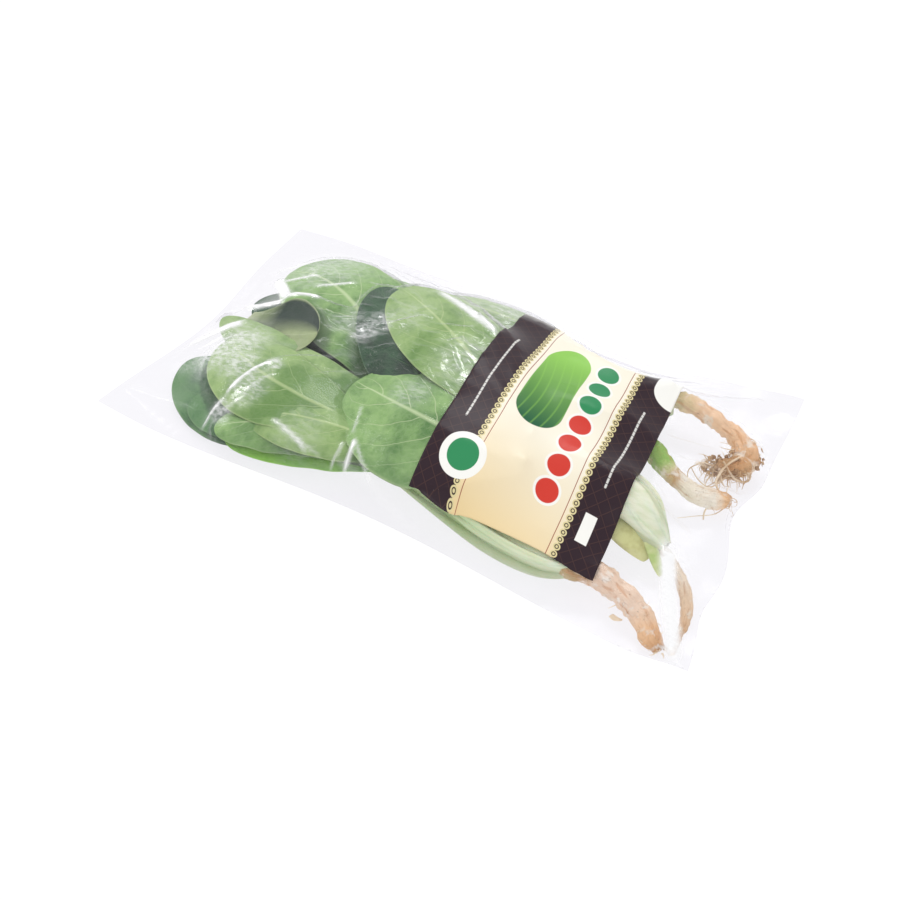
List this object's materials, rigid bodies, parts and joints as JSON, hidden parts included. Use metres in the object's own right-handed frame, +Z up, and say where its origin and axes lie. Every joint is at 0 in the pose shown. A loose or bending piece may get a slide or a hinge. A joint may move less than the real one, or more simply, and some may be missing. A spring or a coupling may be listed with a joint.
{
  "type": "pack of bok choy",
  "caption": "Clear sealed film bag holding whole bok choy plants with their roots, laid flat, with a wide printed label wrapped over its middle.",
  "frame": {"origin": "middle of the footprint, on the surface that the bag lies on", "axes": "+X along the bag from the leaf tips to the roots, +Y from the label's lower edge to its upper edge, +Z up"},
  "size_m": [0.3908, 0.223, 0.0489],
  "materials": {
    "film": "thin clear glossy film, softly creased",
    "label_print": "glossy printed film, aubergine bands with a cream to light orange field",
    "leaf": "satin green leaf with pale veins",
    "stalk": "satin pale green stalk and bulb",
    "root": "matt brown root with soil"
  },
  "bodies": {
    "root": {"bag": "film", "label": "label_print"}
  },
  "joints": []
}
